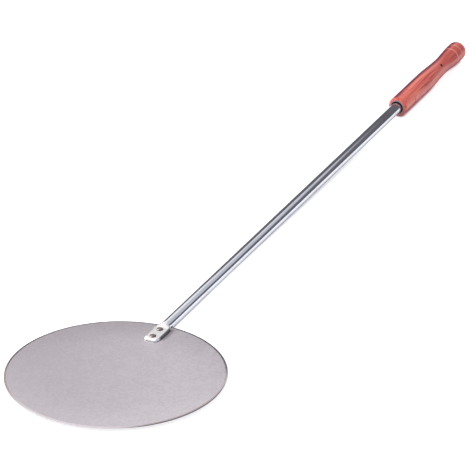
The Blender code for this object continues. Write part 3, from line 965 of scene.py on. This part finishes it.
def tube_mesh():
    """The tube's mesh: two tongues, pressed flat towards their ends, on one long round wall."""
    peel = sizes()
    bm = bmesh.new()
    *stations, slit_root = tongue_stations()
    arches = tongue_arches(slit_root)
    radii = (peel.tube_diameter / 2, peel.tube_diameter / 2 - peel.tube_wall)
    walls = []
    for along in [slit_root] + spaced(slit_root, TUBE_HIGH.x - blade_radius(), TUBE_STEPS):
        walls.append([tube_ring(bm, along, arch, radius) for arch, radius in zip(arches, radii)])
    (upper_outer, lower_outer, ring_outer), (upper_inner, lower_inner, ring_inner) = walls[0]
    add_tongue(bm, stations, [upper_outer, upper_inner], 1)
    add_tongue(bm, stations, [lower_outer, lower_inner], -1)
    for middle in (2 * TONGUE_HALF_POINTS + 1, -1):
        outer, inner = ([ring[middle + step] for step in (-1, 0, 1)] for ring in (ring_outer, ring_inner))
        bm.faces.new(outer + inner[::-1])
    for wall, next_wall in zip(walls, walls[1:]):
        for (_, _, ring), (_, _, next_ring) in zip(wall, next_wall):
            join_rows(bm, ring, next_ring, closed=True)
    (_, _, end_outer), (_, _, end_inner) = walls[-1]
    join_rows(bm, end_outer, end_inner, closed=True)
    bmesh.ops.recalc_face_normals(bm, faces=bm.faces)
    mesh = bpy.data.meshes.new("peel_tube")
    bm.to_mesh(mesh)
    bm.free()
    return mesh


class PEEL_OT_tube(bpy.types.Operator):
    """Loft the tube with its slit end, whose two tongues lie on the blade"""

    bl_idname = "peel.tube"
    bl_label = "Tube"

    def execute(self, context):
        tube = bpy.data.objects.new("peel_tube", tube_mesh())
        context.scene.collection.objects.link(tube)
        soften_edges(tube, *TUBE_EDGE)
        drill_for_rivets(tube, 2 * sizes().tube_diameter)
        drill_for_pin(tube)
        place_piece(tube, "handle_tube", chromed_steel())
        return {"FINISHED"}


def dome(base_radius, height, steps):
    """(radius, height) points down a rounded head, from its crown to its base at height 0."""
    sphere = (base_radius**2 + height**2) / (2.0 * height)
    points = [(0.0, height)]
    for angle in spaced(0.0, math.asin(base_radius / sphere), steps):
        points.append((sphere * math.sin(angle), height - sphere * (1.0 - math.cos(angle))))
    return points


def rivet_outline():
    """(radius, height) points of a rivet about the handle's axis, from its head's crown to its tail."""
    peel = sizes()
    outer, _ = tongue_arches((RIVET_LOW.x + RIVET_HIGH.x) / 2 - blade_radius())
    seat = outer[TONGUE_HALF_POINTS][1] + FIT_GAP
    shank = peel.rivet_shank / 2
    head = dome(peel.rivet_head / 2, peel.rivet_head_height, RIVET_HEAD_STEPS)
    tail = dome(RIVET_TAIL_DIAMETER / 2, RIVET_TAIL_HEIGHT, RIVET_TAIL_STEPS)
    outline = [(radius, seat + height) for radius, height in head]
    outline += [(shank, seat), (shank, -seat)]
    return outline + [(radius, -seat - height) for radius, height in reversed(tail)]


class PEEL_OT_rivets(bpy.types.Operator):
    """Turn the front rivet and copy it, to hold the tongues on the blade"""

    bl_idname = "peel.rivets"
    bl_label = "Rivets"

    def execute(self, context):
        front, rear = RIVET_NODES
        centers = rivet_centers()
        points = [centers[front] + Vector((radius, 0.0, height)) for radius, height in rivet_outline()]
        first = turned_piece("peel_" + front, points, centers[front], UPRIGHT, RIVET_STEPS)
        soften_edges(first, *RIVET_EDGE)
        select_only(first)
        bpy.ops.object.duplicate_move(TRANSFORM_OT_translate={"value": centers[rear] - centers[front]})
        second = context.object
        name_piece(second, "peel_" + rear)
        apply_place()
        material = rivet_steel()
        place_piece(first, front, material)
        place_piece(second, rear, material)
        return {"FINISHED"}


def groove_places():
    """Distances of the turned grooves behind the grip's mouth: the front one, then the two at the knob."""
    peel = sizes()
    rear = (peel.first_knob_groove, peel.second_knob_groove)
    return (peel.front_groove, *(peel.grip_length - groove for groove in rear))


def grip_radius(along):
    """Outer radius of the grip behind its mouth, with its turned grooves."""
    peel = sizes()
    body, waist = peel.grip_diameter / 2, peel.waist_diameter / 2
    waist_at = peel.grip_length - peel.waist_from_end
    knob_at = peel.grip_length - peel.knob_from_end
    if along < waist_at:
        radius = body + (waist - body) * ease((along - peel.grip_body) / (waist_at - peel.grip_body))
    else:
        radius = waist + (body - waist) * ease((along - waist_at) / (knob_at - waist_at))
    for groove in groove_places():
        away = min(abs(along - groove) / (GROOVE_WIDTH / 2), 1.0)
        radius -= GROOVE_DEPTH * math.cos(away * QUARTER_TURN) ** 2
    return radius


def grip_shoulder():
    """Rounding of the grip's front edge, limited by the lip round its mouth."""
    peel = sizes()
    return min(peel.shoulder, peel.grip_diameter / 2 - mouth_radius() - LEAST_LIP)


def grip_stations():
    """Distances behind the mouth of the points along the grip's side, closer in the grooves."""
    peel = sizes()
    clear, reach = GROOVE_WIDTH * GROOVE_CLEAR, GROOVE_WIDTH * GROOVE_REACH
    stations = set(spaced(grip_shoulder(), peel.grip_length - END_DOME, GRIP_SIDE_STEPS))
    for groove in groove_places():
        stations = {place for place in stations if abs(place - groove) > clear}
        stations.update(spaced(groove - reach, groove + reach, GROOVE_STEPS))
    return sorted(stations, reverse=True)


def grip_outline():
    """(along, radius) points of the grip from its rounded end, over its side and into its bore."""
    peel = sizes()
    body, shoulder, mouth = peel.grip_diameter / 2, grip_shoulder(), mouth_radius()
    bore = peel.tube_diameter / 2 + FIT_GAP
    bore_end = TUBE_HIGH.x - GRIP_LOW.x + BORE_PAST_TUBE
    outline = [(peel.grip_length, 0.0)]
    for angle in spaced(QUARTER_TURN, 0.0, GRIP_END_STEPS)[:-1]:
        outline.append((peel.grip_length - END_DOME * (1.0 - math.sin(angle)), body * math.cos(angle)))
    outline += [(along, grip_radius(along)) for along in grip_stations()]
    outline.append((shoulder, body))
    for angle in spaced(0.0, QUARTER_TURN, SHOULDER_STEPS):
        outline.append((shoulder * (1.0 - math.sin(angle)), body - shoulder * (1.0 - math.cos(angle))))
    outline += [(MOUTH_CHAMFER, mouth), (MOUTH_DEPTH, mouth), (MOUTH_DEPTH, bore)]
    return outline + [(bore_end, bore), (bore_end, 0.0)]


class PEEL_OT_grip(bpy.types.Operator):
    """Turn the wooden grip, bored for the tube and drilled for its pin"""

    bl_idname = "peel.grip"
    bl_label = "Grip"

    def execute(self, context):
        points = [(GRIP_LOW.x + along, 0.0, AXIS_HEIGHT + radius) for along, radius in grip_outline()]
        center = (GRIP_LOW.x, 0.0, AXIS_HEIGHT)
        grip = turned_piece("peel_grip", points, center, ALONG_HANDLE, GRIP_TURN_STEPS)
        drill_for_pin(grip)
        place_piece(grip, "grip", stained_wood())
        return {"FINISHED"}


class PEEL_OT_pin(bpy.types.Operator):
    """Add the pin through the grip and the tube, rounded at its ends"""

    bl_idname = "peel.pin"
    bl_label = "Pin"

    def execute(self, context):
        peel = sizes()
        deselect_all()
        center = pin_center()
        bpy.ops.mesh.primitive_cylinder_add(
            vertices=HOLE_STEPS,
            radius=peel.pin_diameter / 2,
            depth=2.0 * (grip_radius(center.x - GRIP_LOW.x) - PIN_RECESS),
            location=center,
            rotation=(peel.pin_turn, 0.0, 0.0),
        )
        pin = context.object
        name_piece(pin, "peel_pin")
        apply_place()
        soften_edges(pin, *PIN_EDGE)
        place_piece(pin, "grip_pin", pin_steel())
        return {"FINISHED"}


def floor_material(stage):
    """A pale matt floor, whitened where the camera or a gloss sees it."""
    material, tree, parts = stage_material("pale_floor")
    light = add_node(tree, "LightPath").outputs
    reach = times(tree, fade(tree, parts["X"], CONTACT), fade(tree, parts["X"], GRIP_CONTACT, GRIP_LOW.x))
    near = add_node(tree, "AmbientOcclusion", {"Distance": reach}).outputs["AO"]
    wide = add_node(tree, "AmbientOcclusion", {"Distance": GLOSS_CONTACT}).outputs["AO"]
    seen = times(tree, light["Is Camera Ray"], CAMERA_GLOW)
    seen = times(tree, seen, math_node(tree, "POWER", near, CONTACT_POWER))
    gloss = math_node(tree, "MAXIMUM", light["Is Glossy Ray"], light["Is Transmission Ray"])
    gloss = times(tree, gloss, wide, GLOSS_GLOW)
    matt = add_node(tree, "BsdfDiffuse", {"Color": stage.floor_color}).outputs[0]
    strength = math_node(tree, "ADD", seen, gloss)
    glow = add_node(tree, "Emission", {"Color": WHITE, "Strength": strength}).outputs[0]
    both = add_node(tree, "AddShader", {0: matt, 1: glow}).outputs[0]
    add_node(tree, "OutputMaterial", {"Surface": both})
    return material


def add_floor(stage):
    """The floor, sloping to touch the tube's underside behind the blade and the grip's."""
    tube_touch = Vector((blade_radius() + FLOOR_TOUCH, 0.0, TUBE_LOW.z))
    grip_touch = Vector((GRIP_LOW.x + grip_shoulder(), 0.0, GRIP_LOW.z))
    slope = grip_touch - tube_touch
    deselect_all()
    bpy.ops.mesh.primitive_plane_add(
        size=FLOOR_SIZE, location=tube_touch, rotation=(0.0, -math.atan2(slope.z, slope.x), 0.0)
    )
    floor = bpy.context.object
    floor.name = "floor"
    floor.data.materials.append(floor_material(stage))


def add_world(scene, stage):
    """White to the camera; to the peel a studio with a bright left side and a cool right side."""
    world = bpy.data.worlds.new("studio")
    world.use_nodes = True
    scene.world = world
    tree = world.node_tree
    tree.nodes.clear()
    across = split(tree, add_node(tree, "TexCoord").outputs["Generated"])["Y"]
    sky = mix(tree, fade(tree, across, SKY_BLEND), stage.sky_cool, stage.sky_warm)
    seen = add_node(tree, "LightPath").outputs["Is Camera Ray"]
    color = mix(tree, seen, sky, WHITE)
    background = add_node(tree, "Background", {"Color": color, "Strength": 1.0})
    add_node(tree, "OutputWorld", {"Surface": background.outputs[0]})


def flag_material(stage):
    """The dark card's glow, fading out upwards and higher in its middle."""
    material, tree, parts = stage_material("dark_card")
    hump = times(tree, fade(tree, parts["Y"], FLAG_HUMP), fade(tree, parts["Y"], FLAG_HUMP_LEFT))
    height = math_node(tree, "SUBTRACT", parts["Z"], hump)
    share = remap(tree, height, fade(tree, parts["Y"], FLAG_FADE), fade(tree, parts["Y"], FLAG_TOP))
    card = add_node(tree, "Emission", {"Color": stage.flag_color, "Strength": 1.0}).outputs[0]
    clear = add_node(tree, "BsdfTransparent").outputs[0]
    both = add_node(tree, "MixShader", {0: share, 1: card, 2: clear}).outputs[0]
    add_node(tree, "OutputMaterial", {"Surface": both})
    return material


def add_flag(stage):
    """A dark card behind the grip that only glosses see."""
    deselect_all()
    bpy.ops.mesh.primitive_plane_add(
        size=FLAG_SIZE, location=(FLAG_PLACE, 0.0, 0.0), rotation=(0.0, QUARTER_TURN, 0.0)
    )
    flag = bpy.context.object
    flag.name = "flag"
    flag.data.materials.append(flag_material(stage))
    flag.visible_camera = False
    flag.visible_diffuse = False
    flag.visible_shadow = False


def add_key(stage):
    """A broad soft lamp on the left of the picture."""
    lamp = bpy.data.lights.new("key", "AREA")
    lamp.shape = "DISK"
    lamp.size = KEY_SIZE
    lamp.energy = stage.key_power
    key = bpy.data.objects.new("key", lamp)
    place = Vector(KEY_PLACE)
    aim = Vector(KEY_TARGET) - place
    key.matrix_world = Matrix.LocRotScale(place, aim.to_track_quat("-Z", "Y"), None)
    bpy.context.scene.collection.objects.link(key)


def add_camera(stage):
    """The camera, from its turn, height, roll and distance about its aim."""
    turn, lift, roll = stage.azimuth, stage.elevation, stage.roll
    back = Vector((math.sin(turn) * math.cos(lift), -math.cos(turn) * math.cos(lift), math.sin(lift)))
    level = (-back).cross(Vector(UPRIGHT)).normalized()
    upright = level.cross(-back)
    right = math.cos(roll) * level + math.sin(roll) * upright
    up = math.cos(roll) * upright - math.sin(roll) * level
    camera_data = bpy.data.cameras.new("camera")
    camera_data.sensor_width = SENSOR_WIDTH
    camera_data.lens = SENSOR_WIDTH * stage.distance / stage.picture_width
    camera_data.clip_end = VIEW_END
    camera = bpy.data.objects.new("camera", camera_data)
    place = Vector(stage.aim) + back * stage.distance
    axes = Matrix((right, up, back)).transposed().to_4x4()
    camera.matrix_world = Matrix.Translation(place) @ axes
    bpy.context.scene.collection.objects.link(camera)
    bpy.context.scene.camera = camera


class PEEL_OT_stage(bpy.types.Operator):
    """Set the floor, the light and the camera"""

    bl_idname = "peel.stage"
    bl_label = "Stage"

    def execute(self, context):
        stage = context.scene.peel_stage
        context.scene.view_settings.view_transform = "Standard"
        add_floor(stage)
        add_world(context.scene, stage)
        add_flag(stage)
        add_key(stage)
        add_camera(stage)
        return {"FINISHED"}


class PEEL_PT_panel(bpy.types.Panel):
    """Sidebar panel that lists the peel's pieces and stage"""

    bl_idname = "PEEL_PT_panel"
    bl_label = "Pizza Peel"
    bl_space_type = "VIEW_3D"
    bl_region_type = "UI"
    bl_category = "Peel"

    def draw(self, context):
        for operator in OPERATORS:
            self.layout.operator(operator.bl_idname)
        for name, group in GROUPS.items():
            box = self.layout.box()
            for value in group.__annotations__:
                box.prop(getattr(context.scene, name), value)


GROUPS = {"peel_sizes": PeelSizes, "peel_colors": PeelColors, "peel_stage": PeelStage}
OPERATORS = (PEEL_OT_blade, PEEL_OT_tube, PEEL_OT_rivets, PEEL_OT_grip, PEEL_OT_pin, PEEL_OT_stage)
CLASSES = (*GROUPS.values(), *OPERATORS, PEEL_PT_panel)


def register():
    for kind in CLASSES:
        bpy.utils.register_class(kind)
    for name, group in GROUPS.items():
        setattr(bpy.types.Scene, name, PointerProperty(type=group))


def unregister():
    for name in GROUPS:
        delattr(bpy.types.Scene, name)
    for kind in reversed(CLASSES):
        bpy.utils.unregister_class(kind)


def main():
    register()
    bpy.ops.peel.blade()
    bpy.ops.peel.tube()
    bpy.ops.peel.rivets()
    bpy.ops.peel.grip()
    bpy.ops.peel.pin()
    bpy.ops.peel.stage()


if __name__ == "__main__":
    main()
